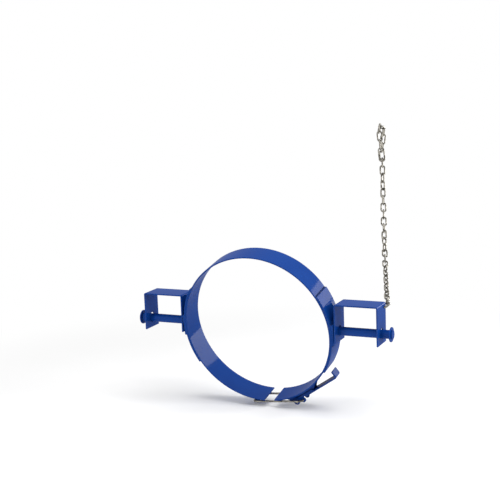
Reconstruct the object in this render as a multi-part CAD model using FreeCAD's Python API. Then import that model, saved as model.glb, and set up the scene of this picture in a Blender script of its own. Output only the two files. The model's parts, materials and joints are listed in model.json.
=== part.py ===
import FreeCAD, Part
import math
import os

# Fork-mounted drum tipper, in millimetres.
# The origin is the middle of the clamping band, on the trunnion axis. +X runs along the trunnions to the
# user's right, +Y away from the user along the forks, +Z up.

# Drum and band
drum_diameter = 574.0
tip_angle = 11.0
band_thickness = 5.0
band_width = 100.0
band_right_end = -82.0
band_left_end = -90.0
doubler_thickness = 6.0
doubler_half_angle = 30.5

# Trunnions
pad_rise = 6.0
pad_height = 80.0
pad_inset = 1.0
pad_chamfer = 2.0
bar_diameter = 32.0
bar_past_disc = 5.0
disc_diameter = 54.0
disc_thickness = 4.0

# Fork brackets
pad_gap = 3.0
bracket_slide = 33.0
plate_thickness = 5.0
plate_bend = 1.0
bracket_depth = 97.0
fork_pocket_width = 154.0
fork_pocket_height = 86.0
leg_below_axis = 37.0
leg_hole_diameter = 37.0
rest_gap = 0.3

# Latch lever, placed by its slope and by its outer face's distance from the band
lever_slope = 34.6
lever_stand_off = 24.3
lever_thickness = 6.0
lever_width = 42.0
lever_tail = 25.0
lever_reach = 135.5
lever_tab = 30.0
lever_bend = 3.0
ear_thickness = 5.0
ear_depth = 6.0
ear_reach = 20.0

# Latch pivots, base, bail and catch
pivot_angle = -68.2
pivot_stand_off = 31.1
pivot_diameter = 10.0
pivot_boss = 24.0
draw_arm = 29.4
draw_angle = 22.0
draw_boss = 20.0
pin_clearance = 0.08
cheek_thickness = 5.0
cheek_gap = 1.0
cheek_from_angle = -46.5
cheek_to_angle = -79.0
cheek_under_lever = 1.5
bail_diameter = 8.0
bail_bend = 10.0
bail_sides = 8
bail_bend_steps = 2
bail_side_gap = 1.0
bail_end_gap = 0.4
catch_angle = -100.0
catch_stand_off = 22.8
catch_width = 32.0
catch_wall = 6.0
catch_foot = 30.0
catch_play_out = 1.9
catch_play_in = 0.5
catch_play_along = 1.8

# Safety chain, from its end link in the right bracket, along its hanging run and round its loop
chain_wire = 6.4
chain_pitch = 34.0
chain_inner_width = 12.0
chain_play = 0.4
chain_sides = 8
chain_bend_steps = 4
chain_hole_diameter = 11.0
chain_hole_from_rear = 18.5
chain_hole_below_top = 16.0
end_link_heading = 80.0
end_link_play = 0.9
run_heading = 108.5
run_length = 681.0
run_slope = 0.20
run_lift = 350.0
run_power = 3.5
run_links = 26
loop_up_links = 3
loop_down_links = 2
loop_lean_back = 27.0
loop_spread = 3.0
strand_lean = 5.0
twist_stops = [(0, 0), (3, 45), (8, 45), (11, 0), (17, 90), (19, 90), (25, 0), (40, 0)]

# Snap hook on the chain's free end
hook_wire = 6.0
hook_straight = 34.0
hook_radius = 11.0
hook_sides = 8
hook_bend_steps = 4
gate_gap = 22.0
gate_heel_gap = 1.5
gate_nose_gap = 0.3
gate_tongue = 2.2
gate_slot_play = 0.2
gate_pin_diameter = 2.4
gate_pin_length = 5.4
gate_pin_inset = 3.0

# Sizes that follow
V = FreeCAD.Vector
ORIGIN = V(0, 0, 0)
UP = V(0, 0, 1)
band_inner = drum_diameter / 2
band_outer = band_inner + band_thickness
doubler_outer = band_outer + doubler_thickness
pad_face = doubler_outer + pad_rise
bar_radius = bar_diameter / 2
leg_inner_face = pad_face + pad_gap
pocket_low_x = leg_inner_face + plate_thickness
pocket_high_x = pocket_low_x + fork_pocket_width
leg_outer_face = pocket_high_x + plate_thickness
disc_face = leg_outer_face + bracket_slide
bar_end = disc_face + disc_thickness + bar_past_disc
fork_seat = bar_radius + fork_pocket_height
bracket_top = fork_seat + plate_thickness


def save(name, shape):
    """Write one finished piece."""
    shape.exportStep(os.path.join("parts", name + ".step"))


def polar(radius, degrees):
    """Point in the band's plane, by its distance from the drum's axis and its angle above +X."""
    angle = math.radians(degrees)
    return V(radius * math.cos(angle), 0, radius * math.sin(angle))


def tipped(shape):
    """Turn a piece of the band's assembly from level to the tipped rest position."""
    turned = shape.copy()
    turned.rotate(ORIGIN, V(1, 0, 0), tip_angle)
    return turned


def mirrored(shape):
    """The left-hand piece for a right-hand one."""
    return shape.mirror(ORIGIN, V(1, 0, 0))


def plate(edges, low, high):
    """Extrude a closed outline in the band's plane from one place to another along the drum's axis."""
    wire = Part.Wire(Part.__sortEdges__(edges))
    flat = Part.Face(wire)
    flat.translate(V(0, low, 0))
    return flat.extrude(V(0, high - low, 0))


def outline(points):
    """Straight edges round a list of corners."""
    ends = points[1:] + points[:1]
    return [Part.makeLine(start, end) for start, end in zip(points, ends)]


def sector(inner, outer, start, end, width):
    """Rolled strip between two radii and two angles, centred on the band's plane."""
    middle = (start + end) / 2
    edges = [
        Part.Arc(polar(outer, start), polar(outer, middle), polar(outer, end)).toShape(),
        Part.makeLine(polar(outer, end), polar(inner, end)),
        Part.Arc(polar(inner, end), polar(inner, middle), polar(inner, start)).toShape(),
        Part.makeLine(polar(inner, start), polar(outer, start)),
    ]
    return plate(edges, -width / 2, width / 2)


def across(radius, centre, low, high):
    """Round pin or hole tool along the drum's axis."""
    return Part.makeCylinder(radius, high - low, centre + V(0, low, 0), V(0, 1, 0))


def placed(shape, x_axis, y_axis, centre):
    """Move a piece made at the origin so that its X and Y lie along the given directions."""
    z_axis = x_axis.cross(y_axis)
    matrix = FreeCAD.Matrix(
        x_axis.x, y_axis.x, z_axis.x, centre.x,
        x_axis.y, y_axis.y, z_axis.y, centre.y,
        x_axis.z, y_axis.z, z_axis.z, centre.z,
        0, 0, 0, 1)
    moved = shape.copy()
    moved.Placement = FreeCAD.Placement(matrix)
    return moved


def unit(vector):
    """The direction of a vector."""
    return vector / vector.Length


def bent_rod(corners, normal, diameter, sides, closed):
    """Wire of flat-sided section along straight runs with mitred corners, in the plane across normal."""
    count = len(corners)
    rings = []
    for index, corner in enumerate(corners):
        before = unit(corner - corners[index - 1])
        after = unit(corners[(index + 1) % count] - corner)
        if not closed and index == 0:
            before = after
        if not closed and index == count - 1:
            after = before
        mitre = unit(before + after)
        wide = normal.cross(mitre) * (diameter / 2 / mitre.dot(after))
        tall = normal * (diameter / 2)
        ring = []
        for step in range(sides):
            angle = math.pi * (2 * step + 1) / sides
            ring.append(corner + wide * math.cos(angle) + tall * math.sin(angle))
        rings.append(ring)
    faces = []
    for index in range(count if closed else count - 1):
        near = rings[index]
        far = rings[(index + 1) % count]
        for step in range(sides):
            after = (step + 1) % sides
            loop = [near[step], near[after], far[after], far[step], near[step]]
            faces.append(Part.Face(Part.makePolygon(loop)))
    if not closed:
        faces += [Part.Face(Part.makePolygon(ring + ring[:1])) for ring in (rings[0], rings[-1])]
    shell = Part.Shell(faces)
    shell.sewShape()
    rod = Part.Solid(shell)
    if rod.Volume < 0:
        rod.reverse()
    return rod


def wire_ring(straight, radius, wire, sides, steps):
    """Closed wire ring in the XY plane: two straight sides along X, joined by mitred half circles."""
    turn = math.pi / steps
    reach = radius / math.cos(turn / 2)
    corners = []
    for side in (1, -1):
        for step in range(steps):
            angle = turn * (step + 0.5) - math.pi / 2
            along = straight / 2 + reach * math.cos(angle)
            corners.append(V(side * along, side * reach * math.sin(angle), 0))
    return bent_rod(corners, UP, wire, sides, True)


# Band, with a doubler on each side
def make_band():
    strip = sector(band_inner, band_outer, band_right_end, band_left_end + 360, band_width)
    save("drum_band", tipped(strip))
    doubler = sector(band_outer, doubler_outer, -doubler_half_angle, doubler_half_angle, band_width)
    save("right_side_plate", tipped(doubler))
    save("left_side_plate", tipped(mirrored(doubler)))


# Trunnions: a saddle block on each doubler, a round bar and a stop disc near its end
def make_trunnions():
    pad_width = band_width - 2 * pad_inset
    block = Part.makeBox(pad_face, pad_width, pad_height, V(0, -pad_width / 2, -pad_height / 2))
    rim = [edge for edge in block.Edges if all(abs(v.X - pad_face) < 1e-6 for v in edge.Vertexes)]
    pad = block.makeChamfer(pad_chamfer, rim).cut(across(doubler_outer, ORIGIN, -pad_width, pad_width))
    bar = Part.makeCylinder(bar_radius, bar_end - pad_face, V(pad_face, 0, 0), V(1, 0, 0))
    disc_at = V(disc_face, 0, 0)
    disc = Part.makeCylinder(disc_diameter / 2, disc_thickness, disc_at, V(1, 0, 0))
    disc = disc.cut(Part.makeCylinder(bar_radius, disc_thickness, disc_at, V(1, 0, 0)))
    for name, piece in (("trunnion_pad", pad), ("trunnion_bar", bar), ("end_disc", disc)):
        save("right_" + name, tipped(piece))
        save("left_" + name, tipped(mirrored(piece)))


def channel_block(low_x, high_x, top, bend):
    """Solid block as high as a bracket, with its two upper edges rounded."""
    block = Part.makeBox(high_x - low_x, bracket_depth, top + leg_below_axis,
                         V(low_x, -bracket_depth / 2, -leg_below_axis))
    upper = [edge for edge in block.Edges
             if all(abs(v.Z - top) < 1e-6 for v in edge.Vertexes) and abs(edge.tangentAt(0).y) > 0.5]
    return block.makeFillet(bend, upper)


# Fork brackets: plates folded into an inverted channel, with the bar resting low in a hole in each leg
chain_hole = V(pocket_high_x + plate_thickness / 2, bracket_depth / 2 - chain_hole_from_rear,
               bracket_top - chain_hole_below_top)


def make_brackets():
    outside = channel_block(leg_inner_face, leg_outer_face, bracket_top, plate_bend + plate_thickness)
    inside = channel_block(pocket_low_x, pocket_high_x, fork_seat, plate_bend)
    hole_rise = leg_hole_diameter / 2 - bar_radius - rest_gap
    bar_hole = Part.makeCylinder(leg_hole_diameter / 2, leg_outer_face, V(0, 0, hole_rise), V(1, 0, 0))
    bracket = outside.cut(inside).cut(bar_hole)
    chain_cut = Part.makeCylinder(chain_hole_diameter / 2, 2 * plate_thickness,
                                  chain_hole - V(plate_thickness, 0, 0), V(1, 0, 0))
    save("right_fork_bracket", bracket.cut(chain_cut))
    save("left_fork_bracket", mirrored(bracket))


# Latch: the lever's own directions, and the pivots in the band's plane
lever_along = polar(1, lever_slope)
lever_outward = polar(1, lever_slope - 90)
lever_face = band_outer + lever_stand_off
lever_under = lever_face - lever_thickness
pivot = polar(band_outer + pivot_stand_off, pivot_angle)
draw_point = pivot + polar(draw_arm, draw_angle)
catch_point = polar(band_outer + catch_stand_off, catch_angle)
ear_outer = lever_width / 2
ear_inner = ear_outer - ear_thickness
cheek_outer = ear_inner - cheek_gap
cheek_inner = cheek_outer - cheek_thickness


def on_lever(along, out):
    """Point by its place along the lever and its distance out from the drum's axis."""
    return lever_along * along + lever_outward * out


def lever_place(point):
    """The reverse of on_lever."""
    return point.dot(lever_along), point.dot(lever_outward)


def tangent_point(start, centre, radius, turn):
    """Where a line from start touches a circle, on its left side for turn 1 or its right for -1."""
    run = centre - start
    lean = math.acos(radius / run.Length)
    back = math.atan2(-run.z, -run.x) + turn * lean
    return centre + V(radius * math.cos(back), 0, radius * math.sin(back))


def make_lever():
    inner_bend = lever_bend
    outer_bend = lever_bend + lever_thickness
    corner = math.sqrt(0.5)
    bend_at = on_lever(lever_reach - outer_bend, lever_face - outer_bend)
    diagonal = (lever_along + lever_outward) * corner
    tab_inside = lever_reach - lever_thickness
    corners = [
        on_lever(lever_reach, lever_face - lever_tab),
        on_lever(tab_inside, lever_face - lever_tab),
        on_lever(tab_inside, lever_face - outer_bend),
        on_lever(lever_reach - outer_bend, lever_under),
        on_lever(-lever_tail, lever_under),
        on_lever(-lever_tail, lever_face),
        on_lever(lever_reach - outer_bend, lever_face),
        on_lever(lever_reach, lever_face - outer_bend),
    ]
    edges = [
        Part.makeLine(corners[0], corners[1]),
        Part.makeLine(corners[1], corners[2]),
        Part.Arc(corners[2], bend_at + diagonal * inner_bend, corners[3]).toShape(),
        Part.makeLine(corners[3], corners[4]),
        Part.makeLine(corners[4], corners[5]),
        Part.makeLine(corners[5], corners[6]),
        Part.Arc(corners[6], bend_at + diagonal * outer_bend, corners[7]).toShape(),
        Part.makeLine(corners[7], corners[0]),
    ]
    save("latch_lever", tipped(plate(edges, -lever_width / 2, lever_width / 2)))


def make_ears():
    pivot_along, pivot_out = lever_place(pivot)
    arm = outline([
        on_lever(pivot_along, pivot_out - pivot_boss / 2),
        on_lever(ear_reach - ear_depth, lever_under - ear_depth),
        on_lever(ear_reach, lever_under),
        on_lever(-lever_tail, lever_under),
        tangent_point(on_lever(-lever_tail, lever_under), draw_point, draw_boss / 2, 1),
        draw_point,
        pivot,
    ])
    side = unit(draw_point - pivot).cross(V(0, 1, 0))
    web = outline([pivot, draw_point, draw_point + side * draw_boss / 2, pivot + side * pivot_boss / 2])
    hole_radius = pivot_diameter / 2 + pin_clearance
    draw_radius = bail_diameter / 2 + pin_clearance
    for name, low in (("front", -ear_outer), ("rear", ear_inner)):
        high = low + ear_thickness
        ear = plate(arm, low, high).fuse([
            plate(web, low, high),
            across(pivot_boss / 2, pivot, low, high),
            across(draw_boss / 2, draw_point, low, high)])
        ear = ear.cut([across(hole_radius, pivot, low, high), across(draw_radius, draw_point, low, high)])
        save(name + "_lever_ear", tipped(ear.removeSplitter()))


def make_latch_base():
    boss = pivot_boss / 2
    under = lever_under - cheek_under_lever
    shoulder = on_lever(-lever_tail - ear_depth, under)
    nose = on_lever(ear_reach, under)
    foot = polar(band_inner, cheek_to_angle)
    heel = polar(band_inner, cheek_from_angle)
    edges = outline([heel, nose, shoulder, tangent_point(shoulder, pivot, boss, 1), pivot,
                     tangent_point(foot, pivot, boss, -1), foot])
    tools = [across(band_outer, ORIGIN, -band_width, band_width),
             across(pivot_diameter / 2, pivot, -band_width, band_width)]
    for name, low in (("front", -cheek_outer), ("rear", cheek_inner)):
        high = low + cheek_thickness
        cheek = plate(edges, low, high).fuse(across(boss, pivot, low, high)).cut(tools)
        save(name + "_latch_cheek", tipped(cheek.removeSplitter()))
    save("latch_pivot_pin", tipped(across(pivot_diameter / 2, pivot, -ear_outer, ear_outer)))


def make_bail():
    side = ear_outer + bail_side_gap + bail_bend
    inner_end = ear_inner + bail_end_gap
    along = unit(catch_point - draw_point)
    length = (catch_point - draw_point).Length
    turn = math.pi / 2 / bail_bend_steps
    reach = bail_bend / math.cos(turn / 2)
    quarter = []
    for step in range(bail_bend_steps):
        angle = turn * (step + 0.5)
        quarter.append((bail_bend - reach * math.cos(angle), side - bail_bend + reach * math.sin(angle)))
    quarter.sort()
    half = [(0, inner_end)] + quarter + [(length - back, out) for back, out in reversed(quarter)]
    whole = half + [(back, -out) for back, out in reversed(half)]
    corners = [draw_point + along * back + V(0, out, 0) for back, out in whole]
    bail = bent_rod(corners, along.cross(V(0, 1, 0)), bail_diameter, bail_sides, False)
    save("draw_bail", tipped(bail))


def make_catch():
    out = unit(catch_point)
    along = V(-out.z, 0, out.x)
    rod = bail_diameter / 2
    slot_in = rod + catch_play_in
    slot_out = rod + catch_play_out
    slot_radius = (slot_in + slot_out) / 2
    slot_shift = (slot_out - slot_in) / 2
    slot_end = rod + catch_play_along
    top = slot_out + catch_wall

    def at(forward, rise):
        return catch_point + along * forward + out * rise

    centre = at(slot_end - slot_radius, slot_shift)
    sink = catch_stand_off + band_thickness
    edges = [
        Part.makeLine(at(-rod, -sink), at(-rod, -slot_in)),
        Part.makeLine(at(-rod, -slot_in), at(slot_end - slot_radius, -slot_in)),
        Part.Arc(at(slot_end - slot_radius, -slot_in), centre + along * slot_radius,
                 at(slot_end - slot_radius, slot_out)).toShape(),
        Part.makeLine(at(slot_end - slot_radius, slot_out), at(-rod, slot_out)),
        Part.makeLine(at(-rod, slot_out), at(-rod, top)),
        Part.makeLine(at(-rod, top), at(slot_end + catch_wall, top)),
        Part.makeLine(at(slot_end + catch_wall, top), at(catch_foot, -sink)),
        Part.makeLine(at(catch_foot, -sink), at(-rod, -sink)),
    ]
    catch = plate(edges, -catch_width / 2, catch_width / 2)
    save("catch_hook", tipped(catch.cut(across(band_outer, ORIGIN, -band_width, band_width))))


# Safety chain: links of one round wire, hung along a rising run and closed in a loop
link_inner_length = chain_pitch + chain_play
link_radius = (chain_inner_width + chain_wire) / 2
link_straight = link_inner_length - chain_inner_width
run_dir = V(math.cos(math.radians(run_heading)), math.sin(math.radians(run_heading)), 0)
side_dir = run_dir.cross(UP)


def end_link_axis():
    """Direction of the end link, which lies back from its hole with the run's first slope."""
    heading = math.radians(end_link_heading)
    return unit(V(math.cos(heading), math.sin(heading), run_slope))


def end_link_near():
    """Inside of the end link's near bend, which goes round the web behind its hole."""
    bend = chain_inner_width / 2
    crown = bend - math.sqrt(bend ** 2 - (plate_thickness / 2) ** 2)
    return chain_hole + V(0, chain_hole_diameter / 2 - crown - end_link_play, 0)


def run_joints():
    """Where the run's links meet, a pitch apart along its curve, from the end link's far bend."""
    bend = chain_inner_width / 2
    first = unit(run_dir + UP * run_slope)
    start = end_link_near() + end_link_axis() * (link_inner_length - bend) + first * (bend - chain_play / 2)

    def at(run):
        rise = run_slope * run + run_lift * (run / run_length) ** run_power
        return start + run_dir * run + UP * rise

    joints = [start]
    place = 0.0
    for _ in range(run_links):
        low, high = place, place + chain_pitch
        while high - low > 1e-9:
            middle = (low + high) / 2
            if (at(middle) - joints[-1]).Length < chain_pitch:
                low = middle
            else:
                high = middle
        place = high
        joints.append(at(place))
    return joints


def hook_axis():
    """Direction of the snap hook and of the loop's hanging strand, leaning a little to the left."""
    lean = math.radians(strand_lean)
    return UP * math.cos(lean) - side_dir * math.sin(lean)


def hook_centre(joints):
    """Middle of the snap hook, whose lower bend holds the last link but one of the run."""
    ends = joints[run_links - 2], joints[run_links - 1]
    middle = (ends[0] + ends[1]) / 2
    level = unit(ends[1] - ends[0]).dot(run_dir)
    seat = link_radius - (hook_wire + chain_wire) / 2 - chain_play
    lift = seat / level
    return middle + UP * lift + hook_axis() * (hook_radius + hook_straight / 2)


def loop_span(index):
    """Length of a loop link between the two places where the loop can fold: the middles of the end
    bends of the links that lie in the loop's own plane, which are the odd ones."""
    if index % 2:
        return link_straight
    return link_inner_length + chain_inner_width - 2 * chain_play


def loop_joints(joints):
    """Where the loop folds: up from the run, over a peak, and down to the snap hook."""
    axis = hook_axis()
    bend_gap = (chain_inner_width - hook_wire) / 2 - chain_play
    down = [hook_centre(joints) + axis * (hook_straight / 2 + hook_radius + bend_gap)]
    last = run_links + loop_up_links + 2 + loop_down_links
    for index in range(last, last - loop_down_links, -1):
        down.insert(0, down[0] + axis * loop_span(index))
    end_dir = unit(joints[-1] - joints[-2])
    climb = [joints[-1] + end_dir * ((loop_span(run_links) - chain_pitch) / 2)]
    lengths = [loop_span(run_links + step) for step in range(1, loop_up_links + 1)]
    shift = V(down[0].x + loop_spread - climb[0].x, loop_lean_back, 0)
    stride = unit(shift + UP * math.sqrt(sum(lengths) ** 2 - shift.Length ** 2))
    for length in lengths:
        climb.append(climb[-1] + stride * length)
    first = loop_span(last - loop_down_links - 1)
    second = loop_span(last - loop_down_links)
    gap = down[0] - climb[-1]
    part_way = (first ** 2 - second ** 2 + gap.Length ** 2) / (2 * gap.Length)
    level = unit(gap)
    peak_dir = unit(UP - level * UP.dot(level))
    peak = climb[-1] + level * part_way + peak_dir * math.sqrt(first ** 2 - part_way ** 2)
    return climb + [peak] + down


def twist(index):
    """How far a link is turned about the chain's own line, from the stops on either side of it."""
    for (low, start), (high, end) in zip(twist_stops, twist_stops[1:]):
        if index <= high:
            return start + (end - start) * (index - low) / (high - low)
    return twist_stops[-1][1]


def make_chain():
    link = wire_ring(link_straight, link_radius, chain_wire, chain_sides, chain_bend_steps)
    axis = end_link_axis()
    wide = unit(axis.cross(UP))
    save("chain_end_link", placed(link, axis, wide, end_link_near() + axis * link_inner_length / 2))
    run = run_joints()
    loop = loop_joints(run)
    ends = list(zip(run, run[1:])) + list(zip(loop, loop[1:]))
    for index, (start, end) in enumerate(ends, 1):
        along = unit(end - start)
        side = side_dir if index <= run_links else V(1, 0, 0)
        level = unit(side - along * side.dot(along))
        angle = math.radians(90 * (index % 2) + twist(index))
        wide = level * math.cos(angle) + along.cross(level) * math.sin(angle)
        save("chain_link_%02d" % index, placed(link, along, wide, (start + end) / 2))
    return run


# Snap hook: a ring of round wire with a hinged gate in its left side
def make_snap_hook(run):
    half_gap = gate_gap / 2
    pin_at = V(-half_gap - gate_pin_inset, hook_radius, 0)
    slot = gate_tongue + 2 * gate_slot_play
    ring = wire_ring(hook_straight, hook_radius, hook_wire, hook_sides, hook_bend_steps)
    opening = Part.makeBox(gate_gap, 2 * hook_wire, 2 * hook_wire,
                           V(-half_gap, hook_radius - hook_wire, -hook_wire))
    slot_depth = 2 * gate_pin_inset - gate_slot_play
    tongue_slot = Part.makeBox(slot_depth, 2 * hook_wire, slot,
                               V(-half_gap - slot_depth, hook_radius - hook_wire, -slot / 2))
    pin_hole = Part.makeCylinder(gate_pin_diameter / 2, 2 * hook_wire, pin_at - UP * hook_wire, UP)
    pin = Part.makeCylinder(gate_pin_diameter / 2, gate_pin_length, pin_at - UP * gate_pin_length / 2, UP)
    body = ring.cut(opening).cut(tongue_slot).cut(pin_hole)
    heel = -half_gap + gate_heel_gap
    nose = half_gap - gate_nose_gap
    gate_ends = [V(heel, hook_radius, 0), V(nose, hook_radius, 0)]
    gate_rod = bent_rod(gate_ends, UP, hook_wire, hook_sides, False)
    tongue_reach = heel - pin_at.x + gate_pin_inset
    tongue = Part.makeBox(tongue_reach, hook_wire / 2, gate_tongue,
                          pin_at - V(0, hook_wire / 4, gate_tongue / 2))
    knuckle_radius = gate_pin_inset - 2 * gate_slot_play
    knuckle_at = pin_at - UP * gate_tongue / 2
    knuckle = Part.makeCylinder(knuckle_radius, gate_tongue, knuckle_at, UP)
    bore = Part.makeCylinder(gate_pin_diameter / 2 + pin_clearance, gate_tongue, knuckle_at, UP)
    gate = gate_rod.fuse([tongue, knuckle]).cut(bore).removeSplitter()
    axis = hook_axis()
    left = unit(axis.cross(run_dir))
    left = left if left.dot(side_dir) < 0 else left * -1
    centre = hook_centre(run)
    for name, piece in (("snap_hook", body), ("hook_gate", gate), ("gate_pin", pin)):
        save(name, placed(piece, axis, left, centre))


os.makedirs("parts", exist_ok=True)
make_band()
make_trunnions()
make_brackets()
make_lever()
make_ears()
make_latch_base()
make_bail()
make_catch()
make_snap_hook(make_chain())
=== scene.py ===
import json
import math

import bmesh
import bpy
import numpy as np
from mathutils import Matrix, Vector


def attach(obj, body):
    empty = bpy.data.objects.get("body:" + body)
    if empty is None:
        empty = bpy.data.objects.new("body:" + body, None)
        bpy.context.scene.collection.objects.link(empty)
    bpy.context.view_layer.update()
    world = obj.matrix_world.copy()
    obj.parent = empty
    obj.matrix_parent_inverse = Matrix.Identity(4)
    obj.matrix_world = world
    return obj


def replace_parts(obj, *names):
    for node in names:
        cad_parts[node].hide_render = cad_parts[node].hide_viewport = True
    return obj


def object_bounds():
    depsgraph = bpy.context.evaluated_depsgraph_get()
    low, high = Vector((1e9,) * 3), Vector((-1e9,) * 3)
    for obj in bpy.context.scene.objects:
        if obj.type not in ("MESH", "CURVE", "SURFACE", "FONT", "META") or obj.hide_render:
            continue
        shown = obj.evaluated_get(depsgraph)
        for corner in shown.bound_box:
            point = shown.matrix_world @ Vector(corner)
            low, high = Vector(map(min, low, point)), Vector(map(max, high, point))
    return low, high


bpy.ops.wm.read_factory_settings(use_empty=True)
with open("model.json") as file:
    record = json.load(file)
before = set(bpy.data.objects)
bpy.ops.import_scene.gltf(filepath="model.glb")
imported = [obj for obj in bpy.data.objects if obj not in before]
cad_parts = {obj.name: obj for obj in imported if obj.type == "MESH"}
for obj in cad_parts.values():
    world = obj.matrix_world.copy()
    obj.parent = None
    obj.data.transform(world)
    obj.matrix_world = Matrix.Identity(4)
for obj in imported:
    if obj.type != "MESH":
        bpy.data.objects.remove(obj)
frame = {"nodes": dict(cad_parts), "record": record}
cad_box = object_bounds()

# Clamping band
# The band is a strip of 5 mm flat bar rolled into a ring, open below where the latch draws its ends
# together. It is mild steel, and it was sprayed blue after everything was welded to it.


def linear(code):
    """An sRGB hex colour as linear red, green, blue and alpha."""
    shares = [int(code[place:place + 2], 16) / 255 for place in (0, 2, 4)]
    return [s / 12.92 if s <= 0.04045 else ((s + 0.055) / 1.055) ** 2.4 for s in shares] + [1.0]


def add_node(tree, kind, inputs, **settings):
    """Add a node with its settings, and give its inputs their values or links."""
    node = tree.nodes.new(kind)
    for name, value in settings.items():
        setattr(node, name, value)
    for socket, value in inputs.items():
        if isinstance(value, bpy.types.NodeSocket):
            tree.links.new(value, node.inputs[socket])
        else:
            node.inputs[socket].default_value = value
    return node


# Sprayed gloss enamel: a deep blue film with a wet-looking clear surface that mirrors bright things at a
# low angle, a faint orange peel, slow changes of tone with its thickness, and rubbed corners.
def sprayed_enamel(name, thin, thick):
    """The enamel in the tones of its thin and thick places."""
    enamel = bpy.data.materials.new(name)
    enamel.use_nodes = True
    tree = enamel.node_tree
    tree.nodes.clear()
    place = add_node(tree, "ShaderNodeTexCoord", {}).outputs["Object"]
    film_patch = 0.11
    film = add_node(tree, "ShaderNodeTexNoise", {"Vector": place, "Scale": 1 / film_patch, "Detail": 3.0})
    film_tone = add_node(tree, "ShaderNodeMix", {
        0: film.outputs["Fac"], 6: linear(thick), 7: linear(thin)}, data_type="RGBA")
    rub_patch = 0.007
    rub = add_node(tree, "ShaderNodeTexNoise", {"Vector": place, "Scale": 1 / rub_patch, "Detail": 4.0})
    rub_spots = add_node(tree, "ShaderNodeMapRange", {
        "Value": rub.outputs["Fac"], "From Min": 0.50, "From Max": 0.68})
    corner = add_node(tree, "ShaderNodeMapRange", {
        "Value": add_node(tree, "ShaderNodeNewGeometry", {}).outputs["Pointiness"],
        "From Min": 0.55, "From Max": 0.68})
    rubbed = add_node(tree, "ShaderNodeMath", {
        0: rub_spots.outputs["Result"], 1: corner.outputs["Result"]}, operation="MULTIPLY")
    paint_tone = add_node(tree, "ShaderNodeMix", {
        0: rubbed.outputs["Value"], 6: film_tone.outputs[2], 7: linear("7388B4")}, data_type="RGBA")
    # The real orange peel is about 2 mm across, which is less than a pixel, so it is drawn at 9 mm.
    peel_size = 0.009
    peel = add_node(tree, "ShaderNodeTexNoise", {"Vector": place, "Scale": 1 / peel_size, "Detail": 2.0})
    peel_bump = add_node(tree, "ShaderNodeBump", {
        "Height": peel.outputs["Fac"], "Strength": 0.22, "Distance": 0.00012})
    film_gloss = add_node(tree, "ShaderNodeMapRange", {
        "Value": rub.outputs["Fac"], "To Min": 0.24, "To Max": 0.36})
    shader = add_node(tree, "ShaderNodeBsdfPrincipled", {
        "Base Color": paint_tone.outputs[2], "Roughness": film_gloss.outputs["Result"],
        "Specular IOR Level": 0.0, "Coat Weight": 0.2, "Coat Roughness": 0.08, "Coat IOR": 1.5,
        "Normal": peel_bump.outputs["Normal"], "Coat Normal": peel_bump.outputs["Normal"]})
    add_node(tree, "ShaderNodeOutputMaterial", {"Surface": shader.outputs["BSDF"]})
    return enamel


enamel = sprayed_enamel("sprayed_gloss_enamel", "113F8A", "0A337B")
crease_angle = math.radians(50)


def show(bm, name, body, material):
    """Close a finished bmesh into a smooth piece with true flats, and hang it on its body."""
    bmesh.ops.recalc_face_normals(bm, faces=bm.faces)
    mesh = bpy.data.meshes.new(name)
    bm.to_mesh(mesh)
    bm.free()
    mesh.shade_smooth()
    mesh.set_sharp_from_angle(angle=crease_angle)
    mesh.materials.append(material)
    piece = bpy.data.objects.new(name, mesh)
    bpy.context.scene.collection.objects.link(piece)
    piece.modifiers.new("true_flats", "WEIGHTED_NORMAL").keep_sharp = True
    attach(piece, body)
    return piece


same_place = 1e-6
flat_angle = math.radians(0.2)
sharp_angle = math.radians(30)


def paint(bm, node, body, edge):
    """Round a plate's sharp edges as far as grinding and paint round them, and show it in enamel."""
    bmesh.ops.remove_doubles(bm, verts=bm.verts, dist=same_place)
    bmesh.ops.dissolve_limit(bm, angle_limit=flat_angle, verts=bm.verts, edges=bm.edges)
    sharp = [e for e in bm.edges if e.is_manifold and e.calc_face_angle() > sharp_angle]
    bmesh.ops.bevel(bm, geom=sharp, offset=edge, offset_type="OFFSET", segments=2, profile=0.5,
                    affect="EDGES", clamp_overlap=True, material=-1)
    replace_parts(show(bm, node + "_painted", body, enamel), node)


def soften(node, body, edge):
    """Paint a plate in the form that its own solid has."""
    bm = bmesh.new()
    bm.from_mesh(frame["nodes"][node].data)
    paint(bm, node, body, edge)


band_edge = 0.0009
soften("drum_band", "drum_ring", band_edge)

# Side plates
# A curved plate on each side stiffens the band where its trunnion is fixed. Each is cut from 6 mm flat bar,
# rolled to lie on the band, and fillet welded to it across both ends.
plate_edge = 0.0009
band_radius = 0.292
plate_radius = 0.298
plate_half_angle = math.radians(30.5)
band_half_width = 0.050
tip = Matrix.Rotation(math.radians(11), 4, "X")
soften("right_side_plate", "drum_ring", plate_edge)
soften("left_side_plate", "drum_ring", plate_edge)

# Enamel over a weld: the same paint in darker tones all over the bead. The darkness is painted shade for the
# crevices where the welds meet the plates and bars.
painted_shade_weld_enamel = sprayed_enamel("enamel_over_weld_painted_shade", "0D2C63", "071B49")


def join(bm, piece):
    """Add one bmesh to another, and free it."""
    made = bpy.data.meshes.new("joined")
    piece.to_mesh(made)
    piece.free()
    bm.from_mesh(made)
    bpy.data.meshes.remove(made)


bead_section = ((0, 0), (1, 0), (0.79, 0.31), (0.55, 0.55), (0.31, 0.79), (0, 1))
ripple_height = 0.035
ripple_rings = 4
end_taper = 0.45


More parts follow.
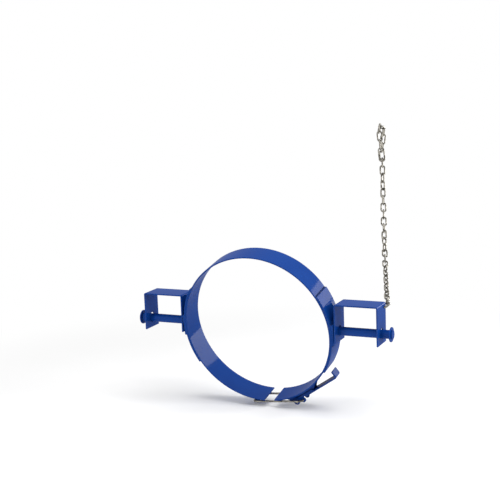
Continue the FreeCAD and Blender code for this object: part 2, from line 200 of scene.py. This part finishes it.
def lay_bead(name, root, legs, sweep, rings, sides=(1,)):
    """Lay fillet welds: a rounded section in a corner, swept along it, with a ripple for each puddle."""
    bm = bmesh.new()
    along, out = legs
    closed = sweep["angle"] == math.tau
    for side in sides:
        flip = Matrix.Diagonal((side, 1, 1))
        bead = bmesh.new()
        section = bead.faces.new([bead.verts.new(root + along * a + out * o) for a, o in bead_section])
        start = section.verts[:] + section.edges[:]
        if closed:
            bmesh.ops.delete(bead, geom=[section], context="FACES_ONLY")
        else:
            start.append(section)
        bmesh.ops.spin(bead, geom=start, steps=rings, use_merge=closed, **sweep)
        turn = sweep["angle"] / rings
        centre = Vector(sweep["cent"])
        bead.verts.index_update()
        for vert in bead.verts:
            ring = vert.index // len(bead_section)
            spun = Matrix.Rotation(turn * ring, 3, Vector(sweep["axis"]))
            corner_at = centre + spun @ (root - centre) + Vector(sweep["dvec"]) * ring
            swell = 1 + ripple_height * math.cos(ring * math.tau / ripple_rings)
            if not closed and ring in (0, rings):
                swell = end_taper
            vert.co = corner_at + (vert.co - corner_at) * swell
        bmesh.ops.transform(bead, matrix=flip.to_4x4(), verts=bead.verts)
        join(bm, bead)
    bmesh.ops.transform(bm, matrix=tip, verts=bm.verts)
    # Every bead is shown in the darker enamel, whose tone is painted shade for its corner.
    show(bm, name, "drum_ring", painted_shade_weld_enamel)


bead_leg = 0.0058
bead_rings = 64
bead_margin = 0.004
bead_run = 2 * (band_half_width - bead_margin)
for end, turned in (("upper", 1), ("lower", -1)):
    angle = turned * plate_half_angle
    outward = Vector((math.cos(angle), 0, math.sin(angle)))
    onward = Vector((-math.sin(angle), 0, math.cos(angle))) * turned
    lay_bead("side_plate_" + end + "_welds",
             outward * band_radius - Vector((0, bead_run / 2, 0)),
             (onward * bead_leg, outward * bead_leg),
             {"cent": (0, 0, 0), "axis": (0, 1, 0), "angle": 0.0, "dvec": (0, bead_run / bead_rings, 0)},
             bead_rings, (1, -1))

# Trunnions
# Each side plate carries a saddle block, a 32 mm round bar that turns in the folded bracket, and a stop disc
# near the bar's end. The block is machined to sit on the plate, and all three are welded up before painting.
block_edge = 0.0007
bar_edge = 0.0009
disc_edge = 0.0005
bar_radius = 0.016
block_face = 0.304
block_half_height = 0.040
disc_inner_face = 0.504
for side in ("right", "left"):
    soften(side + "_trunnion_pad", "drum_ring", block_edge)
    soften(side + "_trunnion_bar", "drum_ring", bar_edge)
    soften(side + "_end_disc", "drum_ring", disc_edge)
round_rings = 72
ring_sweep = {"cent": (0, 0, 0), "axis": (1, 0, 0), "angle": math.tau, "dvec": (0, 0, 0)}
bar_bead = 0.0022
lay_bead("trunnion_bar_welds", Vector((block_face, 0, bar_radius)),
         (Vector((bar_bead, 0, 0)), Vector((0, 0, bar_bead))), ring_sweep, round_rings, (1, -1))
disc_bead = 0.0025
lay_bead("end_disc_welds", Vector((disc_inner_face, 0, bar_radius)),
         (Vector((-disc_bead, 0, 0)), Vector((0, 0, disc_bead))), ring_sweep, round_rings, (1, -1))
for end, turned in (("upper", 1), ("lower", -1)):
    angle = turned * math.asin(block_half_height / plate_radius)
    outward = Vector((math.cos(angle), 0, math.sin(angle)))
    onward = Vector((-math.sin(angle), 0, math.cos(angle))) * turned
    lay_bead("saddle_" + end + "_welds",
             outward * plate_radius - Vector((0, bead_run / 2, 0)),
             (onward * bead_leg, Vector((bead_leg, 0, 0))),
             {"cent": (0, 0, 0), "axis": (0, 1, 0), "angle": 0.0, "dvec": (0, bead_run / bead_rings, 0)},
             bead_rings, (1, -1))

# Folded brackets
# Each bracket is one 5 mm steel plate folded into an upside-down channel and painted like the band. Its legs
# are drilled for the trunnion bar, and the right one has a small hole for the safety chain.
bracket_edge = 0.0010
soften("right_fork_bracket", "right_bracket", bracket_edge)
soften("left_fork_bracket", "left_bracket", bracket_edge)

# Latch base and catch
# Two cheek plates carry the lever's pivot under the band's right end, and a notched block on its left end
# catches the bail. They are flame cut, ground, and welded to the band along their feet.
cheek_edge = 0.0007
soften("catch_hook", "drum_ring", cheek_edge)

# The cheeks' solids hold only the round bosses, so the webs that join these to the band are made here.
joint_at = {j["name"]: Vector(j["pos_m"]) for j in frame["record"]["behaviour"]["joints"] if "pos_m" in j}
pivot = tip.inverted() @ joint_at["latch_lever_swing"]
pin_radius = 0.005
boss_radius = 0.012
cheek_inner_face = 0.010
cheek_thickness = 0.005
cheek_foot = math.radians(-79.0)
cheek_heel = math.radians(-46.5)
lever_slope = math.radians(34.6)
cheek_top = 0.3088
cheek_nose = 0.020
cheek_shoulder = -0.031
arc_steps = 24


def round_arc(centre, radius, first, last, up=(0, 0, 1)):
    """Points on an arc from one angle to another, measured from X towards the upward direction."""
    angles = [first + (last - first) * step / arc_steps for step in range(arc_steps + 1)]
    return [centre + (Vector((math.cos(a), 0, 0)) + Vector(up) * math.sin(a)) * radius for a in angles]


def cut_plate(outlines, start, through):
    """A flat plate, from its rim and the outlines of the holes in it, and a vector through its thickness."""
    bm = bmesh.new()
    edges = []
    for outline in outlines:
        loop = [bm.verts.new(point + Vector(start)) for point in outline]
        edges += [bm.edges.new((a, b)) for a, b in zip(loop, loop[1:] + loop[:1])]
    side = bmesh.ops.triangle_fill(bm, use_beauty=True, use_dissolve=False, edges=edges)["geom"]
    side = [g for g in side if isinstance(g, bmesh.types.BMFace)]
    far_side = bmesh.ops.extrude_face_region(bm, geom=side, use_keep_orig=True)["geom"]
    far_verts = [g for g in far_side if isinstance(g, bmesh.types.BMVert)]
    bmesh.ops.translate(bm, vec=through, verts=far_verts)
    return bm


def touching_angle(point, hand):
    """The angle on the boss at which a straight edge from a point runs into it."""
    run = point - pivot
    return math.atan2(run.z, run.x) + hand * math.acos(boss_radius / run.length)


lever_along = Vector((math.cos(lever_slope), 0, math.sin(lever_slope)))
lever_outward = Vector((math.sin(lever_slope), 0, -math.cos(lever_slope)))
nose = lever_along * cheek_nose + lever_outward * cheek_top
shoulder = lever_along * cheek_shoulder + lever_outward * cheek_top
foot_arc = round_arc(Vector(), band_radius, cheek_foot, cheek_heel)
boss_arc = round_arc(pivot, boss_radius, touching_angle(shoulder, -1),
                     touching_angle(foot_arc[0], 1) - math.tau)
pin_hole = round_arc(pivot, pin_radius, 0, math.tau)[:-1]
for node, front_face in (("front_latch_cheek", -cheek_inner_face - cheek_thickness),
                         ("rear_latch_cheek", cheek_inner_face)):
    outlines = (foot_arc + [nose, shoulder] + boss_arc, pin_hole)
    bm = cut_plate(outlines, (0, front_face, 0), (0, cheek_thickness, 0))
    bmesh.ops.transform(bm, matrix=tip, verts=bm.verts)
    paint(bm, node, "drum_ring", cheek_edge)
foot_bead = 0.0032
rings_per_degree = 3.4
for foot, half, first, last in (("cheek", 0.015, -78.0, -48.0), ("catch", 0.016, -100.4, -94.6)):
    for face, hand in (("front", -1), ("rear", 1)):
        angle = math.radians(first)
        swung = -math.radians(last - first)
        outward = Vector((math.cos(angle), 0, math.sin(angle)))
        lay_bead(foot + "_" + face + "_weld",
                 outward * band_radius + Vector((0, hand * half, 0)),
                 (Vector((0, hand * foot_bead, 0)), outward * foot_bead),
                 {"cent": (0, 0, 0), "axis": (0, 1, 0), "angle": swung, "dvec": (0, 0, 0)},
                 round((last - first) * rings_per_degree))

# Latch pivot pin
# A 10 mm steel pin joins the lever's ears to the cheeks. It is zinc plated, and both of its ends are
# hammered over into low domes that keep it in.

# Bright zinc plate: a pale, slightly warm metal with soft reflections, cloudy where the plating is dull,
# and darker grey where handling and weather have got at it.
zinc = bpy.data.materials.new("bright_zinc_plate")
zinc.use_nodes = True
tree = zinc.node_tree
tree.nodes.clear()
place = add_node(tree, "ShaderNodeTexCoord", {}).outputs["Object"]
cloud_patch = 0.012
cloud = add_node(tree, "ShaderNodeTexNoise", {"Vector": place, "Scale": 1 / cloud_patch, "Detail": 3.0})
plating = add_node(tree, "ShaderNodeMapRange", {
    "Value": cloud.outputs["Fac"], "From Min": 0.36, "From Max": 0.64})
zinc_tone = add_node(tree, "ShaderNodeMix", {
    0: plating.outputs["Result"], 6: linear("524F48"), 7: linear("B0ACA2")}, data_type="RGBA")
zinc_gloss = add_node(tree, "ShaderNodeMapRange", {
    "Value": cloud.outputs["Fac"], "From Min": 0.25, "From Max": 0.75, "To Min": 0.34, "To Max": 0.16})
grain_patch = 0.0016
grain = add_node(tree, "ShaderNodeTexNoise", {"Vector": place, "Scale": 1 / grain_patch, "Detail": 2.0})
grain_bump = add_node(tree, "ShaderNodeBump", {
    "Height": grain.outputs["Fac"], "Strength": 0.3, "Distance": 0.0001})
zinc_shader = add_node(tree, "ShaderNodeBsdfPrincipled", {
    "Base Color": zinc_tone.outputs[2], "Metallic": 1.0, "Roughness": zinc_gloss.outputs["Result"],
    "Normal": grain_bump.outputs["Normal"]})
add_node(tree, "ShaderNodeOutputMaterial", {"Surface": zinc_shader.outputs["BSDF"]})

quarter = math.radians(90)
pin_half_length = 0.021
head_radius = 0.0068
head_height = 0.0022
head_gap = 0.0002
pin_facets = 40
dome_rings = 16
bm = bmesh.new()
bmesh.ops.create_cone(bm, cap_ends=True, segments=pin_facets, radius1=pin_radius, radius2=pin_radius,
                      depth=2 * (pin_half_length + head_gap))
for hand in (1, -1):
    dome = bmesh.ops.create_uvsphere(bm, u_segments=pin_facets, v_segments=dome_rings,
                                     radius=head_radius)["verts"]
    bmesh.ops.scale(bm, vec=(1, 1, hand * head_height / head_radius), verts=dome)
    below = [v for v in dome if v.co.z * hand < -same_place]
    bmesh.ops.delete(bm, geom=below, context="VERTS")
    dome = [v for v in dome if v.is_valid]
    rim = [e for e in bm.edges if e.is_boundary]
    bmesh.ops.edgeloop_fill(bm, edges=rim)
    bmesh.ops.translate(bm, vec=(0, 0, hand * (pin_half_length + head_gap)), verts=dome)
bmesh.ops.rotate(bm, cent=(0, 0, 0), matrix=Matrix.Rotation(quarter, 3, "X"), verts=bm.verts)
bmesh.ops.translate(bm, vec=pivot, verts=bm.verts)
bmesh.ops.transform(bm, matrix=tip, verts=bm.verts)
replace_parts(show(bm, "peened_pivot_pin", "drum_ring", zinc), "latch_pivot_pin")

# Latch lever
# A flat steel handle with its end turned in for the hand, and two ears welded under it. The ears turn on
# the pivot pin and carry the bail, so that the lever pulls past its dead centre as it closes.
lever_edge = 0.0012
ear_edge = 0.0007
soften("latch_lever", "lever", lever_edge)
soften("front_lever_ear", "lever", ear_edge)
soften("rear_lever_ear", "lever", ear_edge)

# Draw bail
# A U of 8 mm round bar whose turned-in ends sit in the lever's ears and whose crown drops into the catch.
# It is bent cold and zinc plated.
draw_point = tip.inverted() @ joint_at["draw_bail_swing"]
catch_angle = math.radians(-100)
catch_radius = 0.3148
catch_point = Vector((math.cos(catch_angle), 0, math.sin(catch_angle))) * catch_radius
bail_radius = 0.004
bail_bend = 0.010
bail_side = 0.032
bail_end = 0.0164
wire_facets = 18


def start_wire(bm, radius, point, along):
    """A ring of edges across the start of a round wire."""
    ring = bmesh.ops.create_circle(bm, segments=wire_facets, radius=radius)["verts"]
    turn = Vector((0, 0, 1)).rotation_difference(Vector(along)).to_matrix()
    bmesh.ops.rotate(bm, cent=(0, 0, 0), matrix=turn, verts=ring)
    bmesh.ops.translate(bm, vec=point, verts=ring)
    return ring + list(dict.fromkeys(e for v in ring for e in v.link_edges))


def draw_wire(bm, ring, steps, run=(0, 0, 0), about=(0, 0, 0), axis=(0, 0, 1), turn=0.0):
    """Carry a wire on from its last ring, straight along a run or round a bend."""
    stride = Vector(run) / steps
    drawn = bmesh.ops.spin(bm, geom=ring, cent=about, axis=axis, dvec=stride, angle=turn, steps=steps)
    return drawn["geom_last"]


def close_end(bm, ring):
    """Cap a wire's end with a flat face."""
    edges = [e for e in ring if isinstance(e, bmesh.types.BMEdge)]
    return bmesh.ops.edgeloop_fill(bm, edges=edges)["faces"]


end_ease = 0.0006


def ease_ends(bm, caps):
    """Bevel the ends of a wire that is drawn and capped, outwards from where it was capped."""
    bmesh.ops.recalc_face_normals(bm, faces=bm.faces)
    bm.normal_update()
    bmesh.ops.inset_region(bm, faces=caps, thickness=end_ease, depth=end_ease, use_boundary=True)


bail_length = (catch_point - draw_point).length
bm = bmesh.new()
first_end = start_wire(bm, bail_radius, (0, bail_end, 0), (0, 1, 0))
bail_turn = bail_side - bail_bend
ring = draw_wire(bm, first_end, steps=2, run=(0, bail_turn - bail_end, 0))
ring = draw_wire(bm, ring, steps=10, about=(bail_bend, bail_turn, 0), turn=-quarter)
ring = draw_wire(bm, ring, steps=8, run=(bail_length - 2 * bail_bend, 0, 0))
ring = draw_wire(bm, ring, steps=10, about=(bail_length - bail_bend, bail_turn, 0), turn=-quarter)
ring = draw_wire(bm, ring, steps=6, run=(0, -2 * bail_turn, 0))
ring = draw_wire(bm, ring, steps=10, about=(bail_length - bail_bend, -bail_turn, 0), turn=-quarter)
ring = draw_wire(bm, ring, steps=8, run=(2 * bail_bend - bail_length, 0, 0))
ring = draw_wire(bm, ring, steps=10, about=(bail_bend, -bail_turn, 0), turn=-quarter)
last_end = draw_wire(bm, ring, steps=2, run=(0, bail_turn - bail_end, 0))
ease_ends(bm, close_end(bm, first_end) + close_end(bm, last_end))
bail_along = (catch_point - draw_point).normalized()
bail_up = bail_along.cross(Vector((0, 1, 0)))
bail_place = Matrix((bail_along, (0, 1, 0), bail_up)).transposed().to_4x4()
bail_place.translation = draw_point
bmesh.ops.transform(bm, matrix=tip @ bail_place, verts=bm.verts)
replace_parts(show(bm, "round_draw_bail", "bail", zinc), "draw_bail")

# Safety chain
# Welded steel chain of 6.4 mm wire, zinc plated, hung from the right bracket. Each link is bent from a cut
# of wire and butt welded in the middle of one side, which leaves a low swelling there.
link_radius = 0.0032
link_bend = 0.0092
link_half = 0.0112
weld_half = 0.0035
weld_swell = 0.11
weld_side = -link_bend / 3
half_turn = math.radians(180)


def round_link(bm):
    """One link in the XY plane with its long way along X, and its weld on the -Y side."""
    first = start_wire(bm, link_radius, (-link_half, -link_bend, 0), (1, 0, 0))
    ring = draw_wire(bm, first, steps=10, run=(2 * link_half, 0, 0))
    ring = draw_wire(bm, ring, steps=12, about=(link_half, 0, 0), turn=half_turn)
    ring = draw_wire(bm, ring, steps=2, run=(-2 * link_half, 0, 0))
    draw_wire(bm, ring, steps=12, about=(-link_half, 0, 0), turn=half_turn)
    bmesh.ops.remove_doubles(bm, verts=bm.verts, dist=same_place)
    for vert in bm.verts:
        reach = abs(vert.co.x) / weld_half
        if vert.co.y < weld_side and reach < 1:
            swell = 1 + weld_swell * (1 - reach ** 2)
            vert.co.y = -link_bend + (vert.co.y + link_bend) * swell
            vert.co.z *= swell


def axes_of(node):
    """The place of a link: its middle, and its long, wide and thin directions, from its solid's corners."""
    corners = np.unique(np.round([v.co for v in frame["nodes"][node].data.vertices], 6), axis=0)
    middle = corners.mean(axis=0)
    long_way, wide_way, _ = np.linalg.svd(corners - middle, full_matrices=False)[2]
    spot = Matrix((long_way, wide_way, np.cross(long_way, wide_way))).transposed().to_4x4()
    spot.translation = middle
    return spot


for node in [name for name in frame["nodes"] if name.startswith("chain_")]:
    bm = bmesh.new()
    round_link(bm)
    bmesh.ops.transform(bm, matrix=axes_of(node), verts=bm.verts)
    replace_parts(show(bm, node.replace("chain", "welded_chain"), "right_bracket", zinc), node)

# Snap hook
# A ring of 6 mm wire on the chain's free end takes hold of the chain again below its loop. Its sprung gate
# opens inwards on a small riveted pin, which sits in a saw cut across the ring's lower end.
hook_radius = 0.003
hook_bend = 0.011
hook_half = 0.017
gate_half = 0.011
gate_heel = -0.0088
gate_nose = 0.0107
slot_half = 0.0013
pin_x = -0.014
tongue_half = 0.0011
finger_sink = 0.0003
tongue_sink = 0.001
knuckle_radius = 0.0026
rivet_hole_radius = 0.00128
gate_joint = next(j for j in frame["record"]["behaviour"]["joints"] if j["name"] == "hook_gate_swing")
gate_spot = axes_of("hook_gate")
upward = gate_spot.col[0].to_3d()
if upward.dot(gate_spot.translation - joint_at["hook_gate_swing"]) < 0:
    upward.negate()
thin_way = -Vector(gate_joint["axis"])
hook_spot = Matrix((upward, thin_way.cross(upward), thin_way)).transposed().to_4x4()
hook_spot.translation = joint_at["hook_gate_swing"] - hook_spot @ Vector((pin_x, hook_bend, 0))
bm = bmesh.new()
nose_end = start_wire(bm, hook_radius, (gate_half + end_ease, hook_bend, 0), (1, 0, 0))
ring = draw_wire(bm, nose_end, steps=2, run=(hook_half - gate_half - end_ease, 0, 0))
ring = draw_wire(bm, ring, steps=14, about=(hook_half, 0, 0), turn=-half_turn)
ring = draw_wire(bm, ring, steps=4, run=(-2 * hook_half, 0, 0))
slot_end = draw_wire(bm, ring, steps=14, about=(-hook_half, 0, 0), turn=-half_turn)
close_end(bm, slot_end)
ease_ends(bm, close_end(bm, nose_end))
for hand in (1, -1):
    finger = bmesh.new()
    bmesh.ops.create_circle(finger, cap_ends=True, segments=wire_facets, radius=hook_radius)
    bmesh.ops.bisect_plane(finger, geom=finger.verts[:] + finger.edges[:] + finger.faces[:],
                           plane_co=(hand * slot_half, 0, 0), plane_no=(hand, 0, 0), clear_inner=True)
    bmesh.ops.rotate(finger, cent=(0, 0, 0), verts=finger.verts,
                     matrix=Matrix(((0, 0, 1), (0, 1, 0), (-1, 0, 0))))
    bmesh.ops.translate(finger, vec=(-hook_half - finger_sink, hook_bend, 0), verts=finger.verts)
    grown = bmesh.ops.extrude_face_region(finger, geom=finger.faces[:], use_keep_orig=True)["geom"]
    tip_verts = [g for g in grown if isinstance(g, bmesh.types.BMVert)]
    bmesh.ops.translate(finger, vec=(finger_sink + hook_half - gate_half, 0, 0), verts=tip_verts)
    join(bm, finger)
bmesh.ops.transform(bm, matrix=hook_spot, verts=bm.verts)
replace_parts(show(bm, "round_snap_hook", "right_bracket", zinc), "snap_hook")

# Hook gate
# The gate is a short round bar with a flat tongue at its heel, drilled for the pin. It is zinc plated like
# the hook, and a hidden spring holds it against the hook's nose.
bm = bmesh.new()
heel_end = start_wire(bm, hook_radius, (gate_heel, hook_bend, 0), (1, 0, 0))
nose_end = draw_wire(bm, heel_end, steps=4, run=(gate_nose - end_ease - gate_heel, 0, 0))
ease_ends(bm, close_end(bm, heel_end) + close_end(bm, nose_end))
knuckle_at = Vector((pin_x, hook_bend, 0))
knuckle = round_arc(knuckle_at, knuckle_radius, quarter, 3 * quarter, up=(0, 1, 0))
root_x = gate_heel + tongue_sink
tongue_root = [Vector((root_x, hook_bend + hand * knuckle_radius, 0)) for hand in (-1, 1)]
rivet_hole = round_arc(knuckle_at, rivet_hole_radius, 0, math.tau, up=(0, 1, 0))[:-1]
join(bm, cut_plate((knuckle + tongue_root, rivet_hole), (0, 0, -tongue_half), (0, 0, 2 * tongue_half)))
bmesh.ops.transform(bm, matrix=hook_spot, verts=bm.verts)
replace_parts(show(bm, "round_hook_gate", "gate", zinc), "hook_gate")
for slot in frame["nodes"]["gate_pin"].material_slots:
    slot.material = zinc

# Studio
# A pale floor that whitens with distance, four soft lamps, and a white surround. The camera sees that white,
# and so do the glossy paint and the plated metal. The rear lamp shows in them too, as a sheen.
floor_gap = 0.002
floor_level = cad_box[0].z - floor_gap
floor_radius = 14.0
floor_facets = 96
bm = bmesh.new()
bmesh.ops.create_circle(bm, cap_ends=True, segments=floor_facets, radius=floor_radius)
bmesh.ops.translate(bm, vec=(0, 0, floor_level), verts=bm.verts)
floor_mesh = bpy.data.meshes.new("studio_floor")
bm.to_mesh(floor_mesh)
bm.free()
floor = bpy.data.objects.new("studio_floor", floor_mesh)
bpy.context.scene.collection.objects.link(floor)

# Matt white vinyl: plain and pale, with the object's soft shadow near it and no edge far away.
shadow_reach = 0.7
white_reach = 1.9
mottle_patch = 0.4


def seen_rays(tree):
    """One for a ray that the eye meets, straight or in gloss, metal or glass, and nought for any other."""
    path = add_node(tree, "ShaderNodeLightPath", {})
    seen = path.outputs["Is Camera Ray"]
    for ray in ("Is Glossy Ray", "Is Transmission Ray"):
        either = add_node(tree, "ShaderNodeMath", {0: seen, 1: path.outputs[ray]}, operation="MAXIMUM")
        seen = either.outputs["Value"]
    return seen


vinyl = bpy.data.materials.new("matt_white_vinyl")
vinyl.use_nodes = True
tree = vinyl.node_tree
tree.nodes.clear()
place = add_node(tree, "ShaderNodeTexCoord", {}).outputs["Object"]
mottle = add_node(tree, "ShaderNodeTexNoise", {"Vector": place, "Scale": 1 / mottle_patch, "Detail": 2.0})
vinyl_tone = add_node(tree, "ShaderNodeMix", {
    0: mottle.outputs["Fac"], 6: linear("F0F0F0"), 7: linear("F6F6F6")}, data_type="RGBA")
matt = add_node(tree, "ShaderNodeBsdfDiffuse", {"Color": vinyl_tone.outputs[2]})
away = add_node(tree, "ShaderNodeVectorMath", {0: place}, operation="LENGTH")
fade = add_node(tree, "ShaderNodeMapRange", {
    "Value": away.outputs["Value"], "From Min": shadow_reach, "From Max": white_reach},
    interpolation_type="SMOOTHSTEP")
white = add_node(tree, "ShaderNodeEmission", {"Color": linear("FFFFFF"), "Strength": 1.0})
seen_white = add_node(tree, "ShaderNodeMath", {
    0: fade.outputs["Result"], 1: seen_rays(tree)}, operation="MULTIPLY")
direct = add_node(tree, "ShaderNodeMixShader", {
    0: seen_white.outputs["Value"], 1: matt.outputs["BSDF"], 2: white.outputs["Emission"]})
add_node(tree, "ShaderNodeOutputMaterial", {"Surface": direct.outputs["Shader"]})
floor_mesh.materials.append(vinyl)

fill_level = 0.43
world = bpy.data.worlds.new("white_room")
bpy.context.scene.world = world
world.use_nodes = True
tree = world.node_tree
tree.nodes.clear()
soft_fill = add_node(tree, "ShaderNodeBackground", {"Color": linear("FFFFFF"), "Strength": fill_level})
plain_white = add_node(tree, "ShaderNodeBackground", {"Color": linear("FFFFFF"), "Strength": 1.0})
surround = add_node(tree, "ShaderNodeMixShader", {
    0: seen_rays(tree), 1: soft_fill.outputs["Background"], 2: plain_white.outputs["Background"]})
add_node(tree, "ShaderNodeOutputWorld", {"Surface": surround.outputs["Shader"]})

for name, spot, size, power, in_gloss in (
        ("overhead_softbox", (0.5, -0.5, 2.6), 2.4, 64.0, False),
        ("rear_softbox", (1.6, 2.8, 0.6), 1.8, 44.0, True),
        ("side_softbox", (2.8, 0.3, 0.6), 1.4, 28.0, False),
        ("front_softbox", (-1.6, -2.6, 1.4), 1.6, 30.0, False)):
    lamp = bpy.data.lights.new(name, "AREA")
    lamp.shape = "DISK"
    lamp.size = size
    lamp.energy = power
    box = bpy.data.objects.new(name, lamp)
    box.location = spot
    box.rotation_mode = "QUATERNION"
    box.rotation_quaternion = (-Vector(spot)).to_track_quat("-Z", "Y")
    box.visible_glossy = in_gloss
    box.visible_camera = False
    bpy.context.scene.collection.objects.link(box)

# Camera
# It stands at the picture's own viewpoint: to the right of the object, a little above it, looking slightly
# down with a slight roll. The lens gives the picture's own field of view.
camera_at = Vector((1.6241, -3.5903, 0.9723))
sensor = 36.0
picture_width = 500
focal_pixels = 1081.25
yaw, pitch, roll = (math.radians(a) for a in (24.794, 9.8654, 2.1428))
forward = Vector((-math.sin(yaw) * math.cos(pitch), math.cos(yaw) * math.cos(pitch), -math.sin(pitch)))
level = Vector((math.cos(yaw), math.sin(yaw), 0))
down = forward.cross(level)
across = level * math.cos(roll) + down * math.sin(roll)
upright = level * math.sin(roll) - down * math.cos(roll)
lens = bpy.data.cameras.new("photo_camera")
lens.sensor_width = sensor
lens.lens = sensor * focal_pixels / picture_width
camera = bpy.data.objects.new("photo_camera", lens)
camera.matrix_world = Matrix((across, upright, -forward)).transposed().to_4x4()
camera.location = camera_at
bpy.context.scene.collection.objects.link(camera)
bpy.context.scene.camera = camera
bpy.context.scene.view_settings.view_transform = "Standard"
